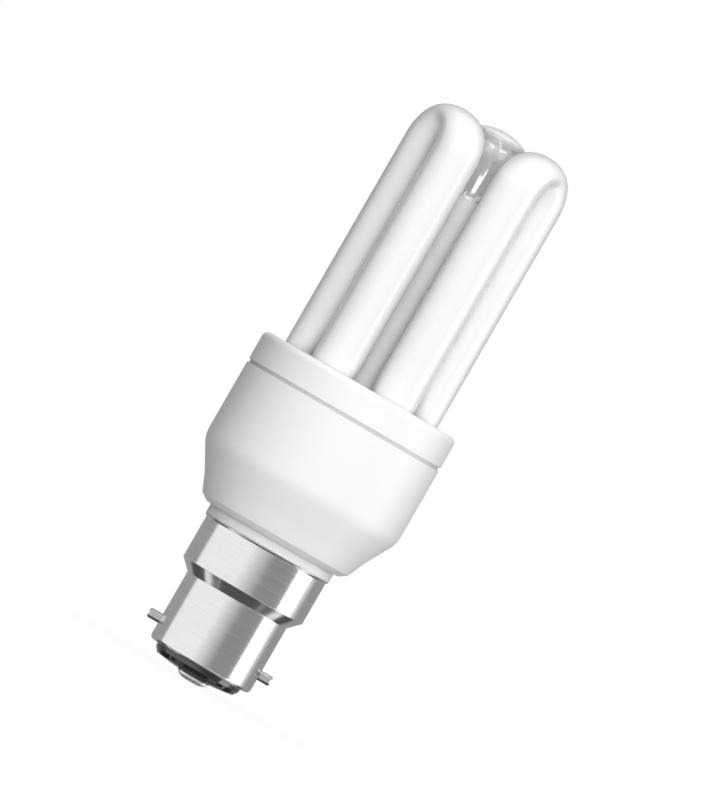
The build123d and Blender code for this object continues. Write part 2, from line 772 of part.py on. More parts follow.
def axial_part(angle, radius, length, places):
    """A round body that lies along the board, with its two leads bent up through the board."""
    with BuildPart() as body:
        middle = polar(axial_circle, angle, board_z - radius)
        along = polar(1, angle + 90)
        with BuildSketch(Plane(origin=middle, z_dir=along)):
            Circle(radius)
        extrude(amount=length / 2, both=True)
        with BuildSketch(Plane(origin=middle, x_dir=(0, 0, 1), z_dir=along)):
            Rectangle(lead_width, lead_width)
        extrude(amount=length / 2 + axial_lead_reach, both=True)
        add(leads(places, below=radius))
    return body


# Rectifier diodes and resistors
for number, (angle, places) in enumerate(zip(diode_angles, diode_leads), start=1):
    finish(axial_part(angle, diode_radius, diode_length, places), f"rectifier_diode_{number}")
for number, (angle, places) in enumerate(zip(resistor_angles, resistor_leads), start=1):
    finish(axial_part(angle, resistor_radius, resistor_length, places), f"resistor_{number}")

# Supply leads: straight down from the board into the contacts' stems, the front one by way of
# the fusible resistor
lead_end_z = contact_seat_z + loose_fit
fuse_top_z = board_z - fuse_drop
fuse_bottom_z = fuse_top_z - fuse_length
for name, place, top_z, bottom_z, radius in (
    ("supply_lead_rear", supply_places[1], board_top_z + lead_tail, lead_end_z, supply_radius),
    ("supply_lead_front_upper", supply_places[0], board_top_z + lead_tail, fuse_top_z, supply_radius),
    ("fusible_resistor", supply_places[0], fuse_top_z, fuse_bottom_z, fuse_radius),
    ("supply_lead_front_lower", supply_places[0], fuse_bottom_z, lead_end_z, supply_radius),
):
    with BuildPart() as straight:
        with BuildSketch(Plane(origin=place + Vector(0, 0, bottom_z))):
            Circle(radius)
        extrude(amount=top_z - bottom_z)
    finish(straight, name)

# Wrap pins: square pins in the board, two beside each electrode
for number, angle in enumerate(wrap_pin_angles, start=1):
    with BuildPart() as wrap_pin:
        with BuildSketch(Plane(origin=polar(wrap_pin_circle, angle, board_z))):
            Rectangle(wrap_pin_width, wrap_pin_width)
        extrude(amount=board_thickness + wrap_pin_height)
    finish(wrap_pin, f"wrap_pin_{number}")

# Filament leads: straight from just below each pinch seal to its two wrap pins
for number, pin_place in enumerate(wrap_pin_places, start=1):
    angle = electrode_legs[(number - 1) // 2]
    side = -1 if number % 2 else 1
    start = polar(leg_circle, angle, pinch_z - filament_radius)
    start += polar(1, angle + 90) * (side * filament_spacing / 2)
    target = pin_place + Vector(0, 0, start.Z - filament_drop)
    run = target - start
    stop = wrap_pin_width * sqrt(2) / 2 + filament_radius / 2
    with BuildPart() as filament_lead:
        with BuildSketch(Plane(origin=start, z_dir=run)):
            Circle(filament_radius)
        extrude(amount=run.length - stop)
    finish(filament_lead, f"filament_lead_{number}")
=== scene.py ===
import json
import math

import bmesh
import bpy
from mathutils import Matrix, Vector

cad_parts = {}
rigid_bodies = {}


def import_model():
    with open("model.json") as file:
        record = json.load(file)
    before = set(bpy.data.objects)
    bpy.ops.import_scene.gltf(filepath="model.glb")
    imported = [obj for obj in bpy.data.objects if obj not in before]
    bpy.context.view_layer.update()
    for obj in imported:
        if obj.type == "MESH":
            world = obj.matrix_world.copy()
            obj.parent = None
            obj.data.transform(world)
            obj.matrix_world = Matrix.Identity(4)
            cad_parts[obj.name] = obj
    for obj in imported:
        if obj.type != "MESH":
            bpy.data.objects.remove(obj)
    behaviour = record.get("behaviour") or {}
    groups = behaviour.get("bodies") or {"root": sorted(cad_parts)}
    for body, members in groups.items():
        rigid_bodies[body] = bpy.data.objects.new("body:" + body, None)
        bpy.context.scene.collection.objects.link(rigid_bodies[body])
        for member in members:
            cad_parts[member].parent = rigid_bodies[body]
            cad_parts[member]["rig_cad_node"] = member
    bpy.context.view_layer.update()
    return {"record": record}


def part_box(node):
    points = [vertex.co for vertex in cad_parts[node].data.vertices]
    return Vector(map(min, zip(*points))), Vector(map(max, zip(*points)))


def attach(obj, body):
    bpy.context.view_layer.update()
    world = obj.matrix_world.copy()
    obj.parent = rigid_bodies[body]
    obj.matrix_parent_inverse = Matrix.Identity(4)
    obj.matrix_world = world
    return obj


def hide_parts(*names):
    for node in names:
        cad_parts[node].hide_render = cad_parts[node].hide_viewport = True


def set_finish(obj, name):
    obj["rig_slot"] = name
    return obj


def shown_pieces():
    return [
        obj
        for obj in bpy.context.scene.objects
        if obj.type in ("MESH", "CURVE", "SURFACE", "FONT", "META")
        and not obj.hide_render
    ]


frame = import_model()

# The lamp's shapes are in millimetres, in its own frame, and turned into metres by MM. The stage and
# the materials are in metres. The lamp's axis is on Z, its cap is below and its pins are along X.
MM = 0.001


def top_of(node):
    """Height of a node's highest point, in millimetres."""
    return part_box(node)[1].z / MM


def bottom_of(node):
    """Height of a node's lowest point, in millimetres."""
    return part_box(node)[0].z / MM


def reach_of(node):
    """How far a node reaches along X from the lamp's axis, in millimetres."""
    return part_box(node)[1].x / MM


# Sizes of the discharge tube: three U bends on six legs
TUBE_RADIUS = 4.68
LEG_OFFSET = 5.6
U_DISTANCE = 10.8
U_ANGLES = (90, 210, 330)
BEND_RISE = 9.5
FRONT_DROP = 0.4  # how much lower the two front bends are than the rear one
BEND_RISES = (BEND_RISE, BEND_RISE - FRONT_DROP, BEND_RISE - FRONT_DROP)
CROTCH_RISE = 3.7
TUBE_ABOVE_COVER = 56.2
CROWN_Z = top_of("upper_cover") + TUBE_ABOVE_COVER
BEND_Z = CROWN_Z - BEND_RISE
PINCH_Z = bottom_of("discharge_tube")
PINCH_LENGTH = 2.4
LEG_END_Z = PINCH_Z + PINCH_LENGTH
LEG_CLOSE = 2.6
PINCH_TAPER = 3.0
PINCH_WIDTH = 8.4
PINCH_THICKNESS = 2.6
PINCH_EDGE = 0.3

# Sizes of the light guide
GUIDE_Z = top_of("light_guide")
GUIDE_END_Z = bottom_of("light_guide")
SLEEVE_TOP_Z = top_of("light_guide_sleeve")
GUIDE_ROD_RADIUS = 1.8
GUIDE_NECK_RADIUS = 2.2
GUIDE_HEAD_RADIUS = 4.65
GUIDE_RIM = 0.75
GUIDE_RIM_ROUND = 0.3
GUIDE_FLARE = 8.2
GUIDE_BORE_RADIUS = 0.4
GUIDE_BORE_END = 0.2  # the bore's radius at its bottom
GUIDE_BORE_DEPTH = 8.6

# Sizes of the lower housing and the cap
RIM_Z = top_of("lower_housing")
BODY_RADIUS = reach_of("lower_housing")
HOUSING_WALL = 1.5
SPIGOT_DEPTH = 8.6  # reach of the housing's neck into the skirt
UNDERSIDE_FLAT = 0.95
FOOT_OUT = 1.6
FOOT_UP = 1.1
KNEE_OUT = 1.55
KNEE_UP = 3.6
KNEE_ROUND = 12.0
FLANK_UP = 6.35
FLANK_ROUND = 6.0
PLUG_FIT = 0.05  # radial clearance of one piece that plugs into another
SHEET = 0.3
CAP_Z = bottom_of("cap_shell")
LIP_Z = top_of("cap_shell")
LIP_RADIUS = reach_of("cap_shell")
BARREL_RADIUS = 11.0
SKIRT_RADIUS = 13.2
BARREL_LENGTH = 14.6
CONE_HEIGHT = 2.2
SKIRT_LENGTH = 8.9
NECK_HEIGHT = 2.0
LIP_ROUND = 0.12
CONE_INSET = 0.12  # how much higher the cone starts and ends on the sheet's inside
EDGE = 0.15  # small round on moulded and drawn edges

# Sizes of the insulator and the contacts
CAP_OPENING = 9.29
DOME_RADIUS = 8.45
DOME_HEIGHT = 0.8
CONTACT_SPACING = 8.2
CONTACT_LENGTH = 6.2
CONTACT_WIDTH = 3.0
CONTACT_DOME = 0.9
CONTACT_SINK = 1.2  # from the insulator's lowest point up to a pad's inner face
FACE_SHARE = 0.55  # how much of its straight part a pad keeps at the middle of its face
STEM_RADIUS = 1.2
SEAT_WIDTH = 0.45
SEAT_RISE = 0.12


# Mesh building
def add_mesh(name, points, faces, slot, *nodes):
    """A smooth mesh piece made from points in millimetres, which stands for some CAD nodes."""
    mesh = bpy.data.meshes.new(name)
    mesh.from_pydata([Vector(p) * MM for p in points], [], faces)
    mesh.validate()
    builder = bmesh.new()
    builder.from_mesh(mesh)
    bmesh.ops.recalc_face_normals(builder, faces=builder.faces)
    builder.to_mesh(mesh)
    builder.free()
    mesh.polygons.foreach_set("use_smooth", [True] * len(mesh.polygons))
    piece = bpy.data.objects.new(name, mesh)
    bpy.context.scene.collection.objects.link(piece)
    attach(piece, "root")
    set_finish(piece, slot)
    if nodes:
        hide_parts(*nodes)
    return piece


def ring_faces(first, second, count):
    """Quads between two rings of points, given by their first points' numbers."""
    return [
        (first + i, first + (i + 1) % count, second + (i + 1) % count, second + i)
        for i in range(count)
    ]


def rounded(corners, step=12):
    """Points of an outline, with each corner (r, z, radius) rounded by an arc of that radius."""
    points = []
    for number, (r, z, radius) in enumerate(corners):
        here = Vector((r, z))
        before = Vector(corners[number - 1][:2]) - here
        after = Vector(corners[(number + 1) % len(corners)][:2]) - here
        if radius == 0:
            points.append(here)
            continue
        a, b = before.normalized(), after.normalized()
        half = a.angle(b) / 2
        reach = min(radius / math.tan(half), before.length / 2, after.length / 2)
        radius = reach * math.tan(half)
        start = here + a * reach
        middle = here + (a + b).normalized() * (radius / math.sin(half))
        turn = math.pi - 2 * half
        steps = max(2, math.ceil(math.degrees(turn) / step))
        way = 1 if a.x * b.y - a.y * b.x < 0 else -1
        arm = start - middle
        for i in range(steps + 1):
            angle = way * turn * i / steps
            cosine, sine = math.cos(angle), math.sin(angle)
            across, along = arm.x * cosine - arm.y * sine, arm.x * sine + arm.y * cosine
            points.append(middle + Vector((across, along)))
    return points


def turned(name, outline, slot, *nodes, segments=128):
    """A piece turned from a closed outline of (radius, height) points."""
    points, faces, rings = [], [], []
    for r, z in outline:
        if r < 1e-6:
            rings.append((len(points), 1))
            points.append((0, 0, z))
            continue
        rings.append((len(points), segments))
        for i in range(segments):
            angle = 2 * math.pi * i / segments
            points.append((r * math.cos(angle), r * math.sin(angle), z))
    for (first, many), (second, more) in zip(rings, rings[1:] + rings[:1]):
        if many == more == segments:
            faces += ring_faces(first, second, segments)
        elif many == segments:
            faces += [(first + i, first + (i + 1) % segments, second) for i in range(segments)]
        elif more == segments:
            faces += [(first, second + (i + 1) % segments, second + i) for i in range(segments)]
    return add_mesh(name, points, faces, slot, *nodes)


# Discharge tube
def u_tube_rings(pinched, rise):
    """Rings along one U, from one closed end to the other, as (x, z, across x, across z, and the half
    widths out of and in the U's plane). x runs along that plane, pinched says which of the two ends is
    a pinch seal, and rise is the height of the bend."""
    def leg(side, is_pinch):
        """Rings of one leg, from its closed end up to just below the bend."""
        x = side * LEG_OFFSET
        if is_pinch:
            shapes = [
                (PINCH_Z, PINCH_WIDTH / 2 - PINCH_EDGE, PINCH_THICKNESS / 2 - PINCH_EDGE),
                (PINCH_Z + PINCH_EDGE, PINCH_WIDTH / 2, PINCH_THICKNESS / 2),
                (LEG_END_Z, PINCH_WIDTH / 2, PINCH_THICKNESS / 2),
            ]
            taper_steps = 6
            for i in range(1, taper_steps + 1):
                share = i / taper_steps
                ease = share * share * (3 - 2 * share)
                across = PINCH_THICKNESS / 2 + (TUBE_RADIUS - PINCH_THICKNESS / 2) * ease
                wide = PINCH_WIDTH / 2 + (TUBE_RADIUS - PINCH_WIDTH / 2) * ease
                shapes.append((LEG_END_Z + PINCH_TAPER * share, wide, across))
        else:
            shapes = []
            end_steps = 8
            for i in range(1, end_steps + 1):
                angle = math.radians(90 * i / end_steps)
                r = TUBE_RADIUS * math.sin(angle)
                shapes.append((LEG_END_Z + LEG_CLOSE * (1 - math.cos(angle)), r, r))
        bottom = shapes[-1][0]
        steps = 8
        for i in range(1, steps):
            shapes.append((bottom + (BEND_Z - bottom) * i / steps, TUBE_RADIUS, TUBE_RADIUS))
        return [(x, z, side, 0.0, wide, across) for z, wide, across in shapes]

    first, last = leg(1, pinched[1]), leg(-1, pinched[0])
    bend = []
    steps = 40
    for i in range(steps + 1):
        turn = math.pi * i / steps
        outer = Vector(((LEG_OFFSET + TUBE_RADIUS) * math.cos(turn), rise * math.sin(turn)))
        inner = Vector(((LEG_OFFSET - TUBE_RADIUS) * math.cos(turn), CROTCH_RISE * math.sin(turn)))
        middle, across = (outer + inner) / 2, (outer - inner) / 2
        direction = across.normalized()
        bend.append((middle.x, BEND_Z + middle.y, direction.x, direction.y, TUBE_RADIUS, across.length))
    return first + bend + last[::-1]


def discharge_tube():
    """Three U tubes with closed or pinched ends, one mesh."""
    count = 56
    points, faces = [], []
    for number, u_angle in enumerate(U_ANGLES):
        turn = math.radians(u_angle)
        outwards = Vector((math.cos(turn), math.sin(turn), 0))
        along = Vector((-math.sin(turn), math.cos(turn), 0))
        pinched = (number == 1, number == 0)
        rings = u_tube_rings(pinched, BEND_RISES[number])
        starts = []
        for x, z, across_x, across_z, wide, thick in rings:
            starts.append(len(points))
            middle = outwards * U_DISTANCE + along * x + Vector((0, 0, z))
            across = along * across_x + Vector((0, 0, across_z))
            for i in range(count):
                angle = 2 * math.pi * i / count
                reach = across * (thick * math.cos(angle)) + outwards * (wide * math.sin(angle))
                points.append(middle + reach)
        for a, b in zip(starts, starts[1:]):
            faces += ring_faces(a, b, count)
        faces.append(tuple(range(starts[0], starts[0] + count)))
        faces.append(tuple(range(starts[-1], starts[-1] + count)))
    return add_mesh("discharge_tube_blown", points, faces, "coated_glass", "discharge_tube")


# Light guide
def light_guide():
    """Clear rod, neck and flared head, with a narrow tapered bore from the flat top."""
    rim_low = GUIDE_Z - GUIDE_RIM
    flare_low = rim_low - GUIDE_FLARE
    spread = GUIDE_HEAD_RADIUS - GUIDE_NECK_RADIUS
    flare_radius = (spread**2 + GUIDE_FLARE**2) / (2 * spread)
    outline = [Vector((0, GUIDE_END_Z)), Vector((GUIDE_ROD_RADIUS, GUIDE_END_Z))]
    outline += [Vector((GUIDE_ROD_RADIUS, SLEEVE_TOP_Z)), Vector((GUIDE_NECK_RADIUS, SLEEVE_TOP_Z))]
    steps = 24
    full_turn = math.asin(GUIDE_FLARE / flare_radius)
    for i in range(steps + 1):
        turn = full_turn * i / steps
        r = GUIDE_NECK_RADIUS + flare_radius * (1 - math.cos(turn))
        outline.append(Vector((r, flare_low + flare_radius * math.sin(turn))))
    outline += rounded([
        (GUIDE_HEAD_RADIUS, GUIDE_Z, GUIDE_RIM_ROUND),
        (GUIDE_BORE_RADIUS, GUIDE_Z, 0.1),
        (GUIDE_BORE_END, GUIDE_Z - GUIDE_BORE_DEPTH, 0.05),
        (GUIDE_HEAD_RADIUS, rim_low, 0),
    ])[:-1]
    outline.append(Vector((0, GUIDE_Z - GUIDE_BORE_DEPTH)))
    return turned("light_guide_clear", outline, "clear_plastic", "light_guide", segments=96)


# Lower housing and cap shell
def lower_housing():
    """Moulded bowl with a neck that plugs into the cap."""
    underside = LIP_Z + NECK_HEIGHT
    spigot = SKIRT_RADIUS - SHEET - PLUG_FIT
    spigot_end = LIP_Z - SPIGOT_DEPTH
    neck = spigot - HOUSING_WALL
    flat = LIP_RADIUS + UNDERSIDE_FLAT
    foot, foot_z = flat + FOOT_OUT, underside + FOOT_UP
    knee, knee_z = foot + KNEE_OUT, foot_z + KNEE_UP
    flank_z = knee_z + FLANK_UP
    bore = BODY_RADIUS - HOUSING_WALL
    outline = rounded([
        (neck, spigot_end, 0.2),
        (spigot, spigot_end, 0.3),
        (spigot, LIP_Z, 0.0),
        (LIP_RADIUS, LIP_Z, EDGE),
        (LIP_RADIUS, underside, 0.25),
        (flat, underside, EDGE),
        (foot, foot_z, EDGE),
        (knee, knee_z, KNEE_ROUND),
        (BODY_RADIUS, flank_z, FLANK_ROUND),
        (BODY_RADIUS, RIM_Z, EDGE),
        (bore, RIM_Z, EDGE),
        (bore, flank_z + 0.35, FLANK_ROUND - 1.0),
        (knee - 1.45, knee_z + 0.2, KNEE_ROUND - 1.0),
        (foot - 1.0, foot_z + 0.8, 0.5),
        (flat - 0.4, underside + HOUSING_WALL, 0.3),
        (neck, underside + HOUSING_WALL, 0.2),
    ], step=6)
    return turned("lower_housing_moulded", outline, "white_plastic", "lower_housing")


def cap_shell():
    """Drawn sheet: barrel, cone, skirt and flared lip, open at the small end."""
    barrel_top = CAP_Z + BARREL_LENGTH
    cone_top = barrel_top + CONE_HEIGHT
    skirt_top = cone_top + SKIRT_LENGTH
    outline = rounded([
        (CAP_OPENING, CAP_Z, EDGE / 2),
        (BARREL_RADIUS, CAP_Z, 1.0),
        (BARREL_RADIUS, barrel_top, 0.25),
        (SKIRT_RADIUS, cone_top, 0.3),
        (SKIRT_RADIUS, skirt_top, 0.2),
        (LIP_RADIUS, LIP_Z - LIP_ROUND, LIP_ROUND),
        (LIP_RADIUS - 0.2, LIP_Z, 0.05),
        (SKIRT_RADIUS - SHEET, skirt_top, 0.1),
        (SKIRT_RADIUS - SHEET, cone_top + CONE_INSET, 0.2),
        (BARREL_RADIUS - SHEET, barrel_top + CONE_INSET, 0.2),
        (BARREL_RADIUS - SHEET, CAP_Z + SHEET, 0.7),
        (CAP_OPENING, CAP_Z + SHEET, EDGE / 2),
    ], step=10)
    return turned("cap_shell_drawn", outline, "cap_metal", "cap_shell", segments=160)


def cap_insulator():
    """Black glass: a shallow dome with a narrow bright edge, a chamfer and a band in the shell's end."""
    opening = CAP_OPENING - PLUG_FIT
    plug = BARREL_RADIUS - SHEET - PLUG_FIT
    dome_z, top_z = bottom_of("cap_insulator"), top_of("cap_insulator")
    steps = 10
    outline = [Vector((0, dome_z))]
    for i in range(1, steps + 1):
        share = i / steps
        outline.append(Vector((DOME_RADIUS * share, dome_z + DOME_HEIGHT * share**2)))
    edge_z = dome_z + DOME_HEIGHT
    outline += rounded([
        (DOME_RADIUS, edge_z, 0),
        (DOME_RADIUS + 0.1, edge_z + 0.25, 0.05),
        (opening - 0.2, edge_z + 0.85, 0.3),
        (opening, CAP_Z - 0.1, 0.2),
        (opening, CAP_Z + SHEET, 0),
        (plug - 1.05, CAP_Z + SHEET, 0),
        (plug, CAP_Z + SHEET + 1.0, 0.2),
        (plug, top_z, 0.2),
    ])[1:]
    outline.append(Vector((0, top_z)))
    return turned("cap_insulator_glass", outline, "black_glass", "cap_insulator")


def oblong(name, sections, side, slot, *nodes):
    """A piece at a contact's place, through oblong sections (half length of the straight part, end
    radius, height). It is closed at both ends."""
    count = 48
    middle = side * CONTACT_SPACING / 2
    points, faces, rings = [], [], []
    for straight, radius, z in sections:
        rings.append(len(points))
        for i in range(count):
            angle = 2 * math.pi * (i + 0.5) / count
            end = straight if math.cos(angle) > 0 else -straight
            points.append((end + radius * math.cos(angle), middle + radius * math.sin(angle), z))
    for first, second in zip(rings, rings[1:]):
        faces += ring_faces(first, second, count)
    faces.append(tuple(range(rings[0], rings[0] + count)))
    faces.append(tuple(range(rings[-1], rings[-1] + count)))
    return add_mesh(name, points, faces, slot, *nodes)


def contact(name, node, side):
    """A soldered contact: an oblong pad with a domed face, and its stem inside the cap."""
    seat_z = bottom_of("cap_insulator") + CONTACT_SINK
    straight, radius = (CONTACT_LENGTH - CONTACT_WIDTH) / 2, CONTACT_WIDTH / 2
    sections = []
    steps = 8
    first_angle = 8
    for i in range(steps + 1):
        angle = math.radians(first_angle + (90 - first_angle) * i / steps)
        length = straight * (FACE_SHARE + (1 - FACE_SHARE) * math.sin(angle))
        sections.append((length, radius * math.sin(angle), CONTACT_DOME * (1 - math.cos(angle))))
    sections += [(straight, radius, seat_z), (0, STEM_RADIUS, seat_z), (0, STEM_RADIUS, top_of(node))]
    return oblong(name, sections, side, "contact_metal", node)


def contact_seat(name, side):
    """A low rim of the insulator's glass round a contact's foot."""
    straight, radius = (CONTACT_LENGTH - CONTACT_WIDTH) / 2, CONTACT_WIDTH / 2 + SEAT_WIDTH
    low = bottom_of("cap_insulator") + SEAT_RISE
    sections = [
        (straight, radius - SEAT_WIDTH - 0.02, low + 0.04),
        (straight, radius - SEAT_WIDTH / 2, low),
        (straight, radius - 0.08, low + 0.1),
        (straight, radius, low + 0.3),
        (straight, radius, low + 1.0),
    ]
    return oblong(name, sections, side, "black_glass")


# Materials
NOISE_SPAN = (0.3, 0.7)  # the noise's values that are spread over a range


def new_material(name):
    """A node material, its tree and its Principled shader."""
    material = bpy.data.materials.new(name)
    material.use_nodes = True
    tree = material.node_tree
    return material, tree, tree.nodes["Principled BSDF"]


def add_node(tree, kind, **values):
    """A node with some of its properties or unlinked inputs set."""
    node = tree.nodes.new(kind)
    for key, value in values.items():
        if hasattr(node, key):
            setattr(node, key, value)
        else:
            node.inputs[key.replace("_", " ").title()].default_value = value
    return node


def noise(tree, scale, stretch):
    """Noise over the lamp's frame, with a cell size set by its scale per metre."""
    place = add_node(tree, "ShaderNodeTexCoord")
    mapping = add_node(tree, "ShaderNodeMapping")
    mapping.inputs["Scale"].default_value = stretch
    texture = add_node(tree, "ShaderNodeTexNoise", scale=scale, detail=3.0)
    tree.links.new(place.outputs["Object"], mapping.inputs["Vector"])
    tree.links.new(mapping.outputs["Vector"], texture.inputs["Vector"])
    return texture.outputs["Fac"]


def spread_value(tree, source, low, high):
    """A value that runs from low to high as the noise does."""
    span = add_node(tree, "ShaderNodeMapRange")
    span.inputs["From Min"].default_value = NOISE_SPAN[0]
    span.inputs["From Max"].default_value = NOISE_SPAN[1]
    span.inputs["To Min"].default_value = low
    span.inputs["To Max"].default_value = high
    tree.links.new(source, span.inputs["Value"])
    return span.outputs["Result"]


def two_colours(tree, source, low, high, span):
    """A colour between two, as the source runs over a span."""
    ramp = add_node(tree, "ShaderNodeValToRGB")
    for element, position, colour in zip(ramp.color_ramp.elements, span, (low, high)):
        element.position = position
        element.color = (*colour, 1)
    tree.links.new(source, ramp.inputs["Fac"])
    return ramp.outputs["Color"]


def bump(tree, source, distance):
    """Surface relief of a depth in metres."""
    node = add_node(tree, "ShaderNodeBump")
    node.inputs["Strength"].default_value = 1.0
    node.inputs["Distance"].default_value = distance
    tree.links.new(source, node.inputs["Height"])
    return node.outputs["Normal"]


def painted_shade_openness(tree, reach):
    """How open a place is, from 0 where other surfaces close it in to 1, within a reach in metres.
    It drives painted shade in creases, between parts and under overhangs.
    """
    return add_node(tree, "ShaderNodeAmbientOcclusion", samples=12, distance=reach).outputs["AO"]


def surface(name, low, high, rough=(0.4, 0.5), scale=600, stretch=(1, 1, 1), relief=0.0, grain=3000,
            painted_shade_reach=0.0, painted_shade_span=(0.4, 0.95), **sockets):
    """A material whose colour and roughness vary between two values, with fine relief. With a painted
    shade reach in metres, its colour runs from low in creases to high in the open instead, as ambient
    occlusion runs over a span: this is painted shade in creases, between parts and under overhangs."""
    material, tree, shader = new_material(name)
    cloud = noise(tree, scale, stretch)
    # Painted shade: with a reach, the base colour darkens towards low in creases, between parts and under
    # overhangs.
    if painted_shade_reach:
        colour = two_colours(tree, painted_shade_openness(tree, painted_shade_reach), low, high, painted_shade_span)
    else:
        colour = two_colours(tree, cloud, low, high, NOISE_SPAN)
    tree.links.new(colour, shader.inputs["Base Color"])
    tree.links.new(spread_value(tree, cloud, *rough), shader.inputs["Roughness"])
    if relief:
        fine = noise(tree, grain, stretch)
        tree.links.new(bump(tree, fine, relief), shader.inputs["Normal"])
    for key, value in sockets.items():
        shader.inputs[key.replace("_", " ")].default_value = value
    return material


def grey(value, blue=0.0):
    """A neutral colour, a little cooler with blue."""
    return (value, value, value + blue)


def make_materials():
    """One material for each slot of the record."""
    lines_around = (0.15, 0.15, 6.0)
    return {
        "cap_metal": surface("cap metal", grey(0.78), grey(0.84), (0.13, 0.19), 900, lines_around,
                             4e-7, 2500, Metallic=1.0),
        "black_glass": surface("black glass", grey(0.010), grey(0.016), (0.05, 0.09), 500, relief=2e-6,
                               grain=700, IOR=1.9),
        "pin_metal": surface("pin metal", grey(0.65), grey(0.67), (0.18, 0.21), 600, (1, 6, 6),
                             Metallic=1.0),
        "contact_metal": surface("contact metal", grey(0.86), grey(0.92), (0.42, 0.55), 900, relief=3e-6,
                                 grain=500, Metallic=1.0),
        # Painted shade: in white and cover plastic, low is the colour painted into creases, grooves and
        # the neck under the housing's overhang, and high is the plastic's own colour.
        "white_plastic": surface("white plastic", grey(0.50), grey(0.865), (0.36, 0.42), 200,
                                 relief=1.5e-6, grain=2500, painted_shade_reach=0.006),
        "cover_plastic": surface("cover plastic", grey(0.50), grey(0.875), (0.36, 0.42), 200,
                                 relief=1.5e-6, grain=2500, painted_shade_reach=0.004),
        # Painted shade: in coated glass, low is the colour painted where the tube legs and bends crowd
        # each other, and high is the coating's own colour.
        "coated_glass": surface("coated glass", grey(0.40), grey(0.86), (0.35, 0.45), 350, painted_shade_reach=0.007,
                                painted_shade_span=(0.20, 0.50), Coat_Weight=1.0, Coat_Roughness=0.02),
        "cement": surface("cement", grey(0.78), grey(0.86), (0.7, 0.8), 800, relief=2e-5, grain=900),
        "clear_plastic": surface("clear plastic", grey(0.83), grey(0.88), (0.10, 0.24), 900,
                                 relief=2e-5, grain=900, Transmission_Weight=0.6, IOR=1.49),
        "sleeve_plastic": surface("sleeve plastic", grey(0.95), grey(0.96), (0.35, 0.45), 300),
        "board_laminate": surface("board laminate", (0.42, 0.31, 0.15), (0.50, 0.38, 0.20), (0.4, 0.5),
                                  1500, relief=4e-6),
        "package_black": surface("package black", grey(0.02), grey(0.035), (0.4, 0.55), 1500, relief=4e-6),
        "can_sleeve": surface("can sleeve", (0.02, 0.025, 0.06), (0.03, 0.035, 0.08), (0.15, 0.22), 400),
        "bobbin_plastic": surface("bobbin plastic", grey(0.06), grey(0.09), (0.4, 0.5), 900, relief=3e-6),
        "ferrite": surface("ferrite", grey(0.05), grey(0.09), (0.6, 0.75), 2500, relief=1e-5),
        "copper_winding": surface("copper winding", (0.50, 0.20, 0.08), (0.72, 0.34, 0.16), (0.25, 0.35),
                                  3000, (1, 1, 5), 5e-5, 3000, Metallic=1.0),
        "film_lacquer": surface("film lacquer", (0.36, 0.07, 0.03), (0.46, 0.10, 0.05), (0.12, 0.2), 500),
        "resistor_body": surface("resistor body", (0.50, 0.40, 0.26), (0.62, 0.51, 0.36), (0.4, 0.5), 1200,
                                 relief=4e-6),
        "lead_metal": surface("lead metal", grey(0.60), grey(0.70), (0.25, 0.4), 2500, relief=2e-6,
                              Metallic=1.0),
        "wire_cover": surface("wire cover", grey(0.74), grey(0.80), (0.4, 0.5), 900, relief=3e-6),
    }


def dress(materials):
    """Every shown piece and CAD node gets its slot's material."""
    slots = {row["node"]: row["material_slot"] for row in frame["record"]["subparts"]}
    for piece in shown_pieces():
        slot = piece.get("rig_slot") or slots[piece["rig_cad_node"]]
        piece.data.materials.clear()
        piece.data.materials.append(materials[slot])


# Floor, backdrop and reflecting cards
def seen_directly(tree):
    """1 for rays from the camera, a mirror or a clear piece."""
    path = add_node(tree, "ShaderNodeLightPath")
    total = path.outputs["Is Camera Ray"]
    for name in ("Is Glossy Ray", "Is Transmission Ray"):
        highest = add_node(tree, "ShaderNodeMath", operation="MAXIMUM")
        tree.links.new(total, highest.inputs[0])
        tree.links.new(path.outputs[name], highest.inputs[1])
        total = highest.outputs["Value"]
    return total


def make_world():
    """Soft light from all round, and plain white where it is seen."""
    world = bpy.data.worlds.new("studio")
    bpy.context.scene.world = world
    world.use_nodes = True
    tree = world.node_tree
    tree.nodes.clear()
    light = add_node(tree, "ShaderNodeBackground", strength=WORLD_LIGHT)
    white = add_node(tree, "ShaderNodeBackground", strength=1.0)
    for node in (light, white):
        node.inputs["Color"].default_value = (1, 1, 1, 1)
    mix = add_node(tree, "ShaderNodeMixShader")
    out = add_node(tree, "ShaderNodeOutputWorld")
    tree.links.new(seen_directly(tree), mix.inputs["Fac"])
    tree.links.new(light.outputs["Background"], mix.inputs[1])
    tree.links.new(white.outputs["Background"], mix.inputs[2])
    tree.links.new(mix.outputs["Shader"], out.inputs["Surface"])


